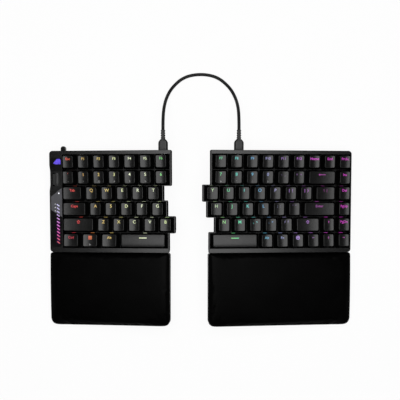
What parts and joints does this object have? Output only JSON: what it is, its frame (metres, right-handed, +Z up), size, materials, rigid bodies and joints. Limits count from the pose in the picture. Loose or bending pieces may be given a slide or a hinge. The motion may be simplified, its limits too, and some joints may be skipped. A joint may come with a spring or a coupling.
{
  "type": "ergonomic split keyboard",
  "caption": "Tented split mechanical keyboard: two joined halves with sprung keys, a roller, a link cable and two detachable wrist rests.",
  "frame": {"origin": "centre of the whole keyboard's footprint on the desk, without the cable", "axes": "+X to the user's right, +Y away from the user, +Z up"},
  "size_m": [0.3696, 0.3119, 0.0551],
  "materials": {
    "case_upper": "fine matt, soft-touch",
    "case_lower": "fine texture",
    "plate": "satin black paint",
    "foam": "closed-cell foam",
    "board": "black solder mask",
    "switch_housing": "satin",
    "stabiliser": "satin",
    "key_light": "translucent",
    "steel_shell": "plain",
    "screw_steel": "black oxide",
    "foot_rubber": "matt",
    "tent_foot": "matt",
    "plug_mould": "satin",
    "rest_tray": "fine texture",
    "rest_cushion": "smooth silicone",
    "rest_foot": "matt",
    "roller": "satin ribs",
    "axle_steel": "ground",
    "bracket": "plain",
    "gloss_panel": "polished",
    "badge_light": "translucent, lit",
    "status_grey": "smoked, polished",
    "strip_light": "translucent, lit",
    "switch_block": "plain",
    "mode_knob": "polished",
    "battery_wrap": "foil wrap",
    "cable_jacket": "matt jacket",
    "keycap": "fine grain"
  },
  "bodies": {
    "left_half": {"left_upper_case": "case_upper", "left_lower_case": "case_lower", "left_switch_plate": "plate", "left_damping_foam": "foam", "left_circuit_board": "board", "left_switch_housings": "switch_housing", "left_stabilisers": "stabiliser", "left_key_lights": "key_light", "left_usb_sockets": "steel_shell", "left_case_screws": "screw_steel", "left_rubber_feet": "foot_rubber", "left_plug": "plug_mould", "left_roller_bracket": "bracket", "left_badge_panel": "gloss_panel", "left_badge_window": "badge_light", "left_status_cover": "status_grey", "left_strip_cover": "gloss_panel", "left_strip_lights": "strip_light", "left_mode_switch": "switch_block", "left_battery": "battery_wrap", "link_cable": "cable_jacket"},
    "right_half": {"right_upper_case": "case_upper", "right_lower_case": "case_lower", "right_switch_plate": "plate", "right_damping_foam": "foam", "right_circuit_board": "board", "right_switch_housings": "switch_housing", "right_stabilisers": "stabiliser", "right_key_lights": "key_light", "right_usb_sockets": "steel_shell", "right_case_screws": "screw_steel", "right_rubber_feet": "foot_rubber", "right_plug": "plug_mould"},
    "left_roller": {"left_roller": "roller", "left_roller_axle": "axle_steel"},
    "left_mode_knob": {"left_mode_knob": "mode_knob"},
    "space_left": {"space_left": "keycap"},
    "space_right": {"space_right": "keycap"},
    "enter": {"enter": "keycap"},
    "backspace": {"backspace": "keycap"},
    "left_rest": {"left_rest_tray": "rest_tray", "left_rest_cushion": "rest_cushion", "left_rest_feet": "rest_foot"},
    "left_tent_feet": {"left_tent_feet": "tent_foot"},
    "left_function_row_keys": {"left_function_row_keys": "keycap"},
    "left_number_row_keys": {"left_number_row_keys": "keycap"},
    "left_upper_row_keys": {"left_upper_row_keys": "keycap"},
    "left_home_row_keys": {"left_home_row_keys": "keycap"},
    "left_lower_row_keys": {"left_lower_row_keys": "keycap"},
    "left_bottom_row_keys": {"left_bottom_row_keys": "keycap"},
    "right_rest": {"right_rest_tray": "rest_tray", "right_rest_cushion": "rest_cushion", "right_rest_feet": "rest_foot"},
    "right_tent_feet": {"right_tent_feet": "tent_foot"},
    "right_function_row_keys": {"right_function_row_keys": "keycap"},
    "right_number_row_keys": {"right_number_row_keys": "keycap"},
    "right_upper_row_keys": {"right_upper_row_keys": "keycap"},
    "right_home_row_keys": {"right_home_row_keys": "keycap"},
    "right_lower_row_keys": {"right_lower_row_keys": "keycap"},
    "right_bottom_row_keys": {"right_bottom_row_keys": "keycap"}
  },
  "joints": [
    {"name": "halves_spread", "type": "slide", "parent": "left_half", "child": "right_half", "axis": [1, 0, 0], "range_m": [-0.035, 0.06], "deforming": ["link_cable"]},
    {"name": "roller_turn", "type": "hinge", "parent": "left_half", "child": "left_roller", "pos_m": [-0.17537, 0.06896, 0.01941], "axis": [-0.0059, 0.999, 0.0432], "continuous": true},
    {"name": "mode_slide", "type": "slide", "parent": "left_half", "child": "left_mode_knob", "axis": [0.9907, 0, 0.1357], "range_m": [-0.0025, 0.0025]},
    {"name": "left_rest_pull", "type": "slide", "parent": "left_half", "child": "left_rest", "axis": [0, -1, 0], "range_m": [0, 0.03]},
    {"name": "left_tent_feet_pull", "type": "slide", "parent": "left_half", "child": "left_tent_feet", "axis": [0.1357, 0, -0.9907], "range_m": [0, 0.005]},
    {"name": "right_rest_pull", "type": "slide", "parent": "right_half", "child": "right_rest", "axis": [0, -1, 0], "range_m": [0, 0.03]},
    {"name": "right_tent_feet_pull", "type": "slide", "parent": "right_half", "child": "right_tent_feet", "axis": [-0.1357, 0, -0.9907], "range_m": [0, 0.005]},
    {"name": "left_function_row_keys_press", "type": "slide", "parent": "left_half", "child": "left_function_row_keys", "axis": [0.1356, 0.0436, -0.9898], "range_m": [0, 0.0035], "stiffness_N_per_m": 770, "springref_m": -0.003},
    {"name": "left_number_row_keys_press", "type": "slide", "parent": "left_half", "child": "left_number_row_keys", "axis": [0.1356, 0.0436, -0.9898], "range_m": [0, 0.0035], "stiffness_N_per_m": 770, "springref_m": -0.003},
    {"name": "left_upper_row_keys_press", "type": "slide", "parent": "left_half", "child": "left_upper_row_keys", "axis": [0.1356, 0.0436, -0.9898], "range_m": [0, 0.0035], "stiffness_N_per_m": 660, "springref_m": -0.003},
    {"name": "left_home_row_keys_press", "type": "slide", "parent": "left_half", "child": "left_home_row_keys", "axis": [0.1356, 0.0436, -0.9898], "range_m": [0, 0.0035], "stiffness_N_per_m": 660, "springref_m": -0.003},
    {"name": "left_lower_row_keys_press", "type": "slide", "parent": "left_half", "child": "left_lower_row_keys", "axis": [0.1356, 0.0436, -0.9898], "range_m": [0, 0.0035], "stiffness_N_per_m": 660, "springref_m": -0.003},
    {"name": "left_bottom_row_keys_press", "type": "slide", "parent": "left_half", "child": "left_bottom_row_keys", "axis": [0.1356, 0.0436, -0.9898], "range_m": [0, 0.0035], "stiffness_N_per_m": 330, "springref_m": -0.003},
    {"name": "right_function_row_keys_press", "type": "slide", "parent": "right_half", "child": "right_function_row_keys", "axis": [-0.1356, 0.0436, -0.9898], "range_m": [0, 0.0035], "stiffness_N_per_m": 990, "springref_m": -0.003},
    {"name": "right_number_row_keys_press", "type": "slide", "parent": "right_half", "child": "right_number_row_keys", "axis": [-0.1356, 0.0436, -0.9898], "range_m": [0, 0.0035], "stiffness_N_per_m": 770, "springref_m": -0.003},
    {"name": "right_upper_row_keys_press", "type": "slide", "parent": "right_half", "child": "right_upper_row_keys", "axis": [-0.1356, 0.0436, -0.9898], "range_m": [0, 0.0035], "stiffness_N_per_m": 990, "springref_m": -0.003},
    {"name": "right_home_row_keys_press", "type": "slide", "parent": "right_half", "child": "right_home_row_keys", "axis": [-0.1356, 0.0436, -0.9898], "range_m": [0, 0.0035], "stiffness_N_per_m": 770, "springref_m": -0.003},
    {"name": "right_lower_row_keys_press", "type": "slide", "parent": "right_half", "child": "right_lower_row_keys", "axis": [-0.1356, 0.0436, -0.9898], "range_m": [0, 0.0035], "stiffness_N_per_m": 880, "springref_m": -0.003},
    {"name": "right_bottom_row_keys_press", "type": "slide", "parent": "right_half", "child": "right_bottom_row_keys", "axis": [-0.1356, 0.0436, -0.9898], "range_m": [0, 0.0035], "stiffness_N_per_m": 660, "springref_m": -0.003},
    {"name": "space_left_press", "type": "slide", "parent": "left_half", "child": "space_left", "axis": [0.1356, 0.0436, -0.9898], "range_m": [0, 0.0035], "stiffness_N_per_m": 220, "springref_m": -0.003},
    {"name": "space_right_press", "type": "slide", "parent": "right_half", "child": "space_right", "axis": [-0.1356, 0.0436, -0.9898], "range_m": [0, 0.0035], "stiffness_N_per_m": 220, "springref_m": -0.003},
    {"name": "enter_press", "type": "slide", "parent": "right_half", "child": "enter", "axis": [-0.1356, 0.0436, -0.9898], "range_m": [0, 0.0035], "stiffness_N_per_m": 165, "springref_m": -0.003},
    {"name": "backspace_press", "type": "slide", "parent": "right_half", "child": "backspace", "axis": [-0.1356, 0.0436, -0.9898], "range_m": [0, 0.0035], "stiffness_N_per_m": 165, "springref_m": -0.003}
  ]
}
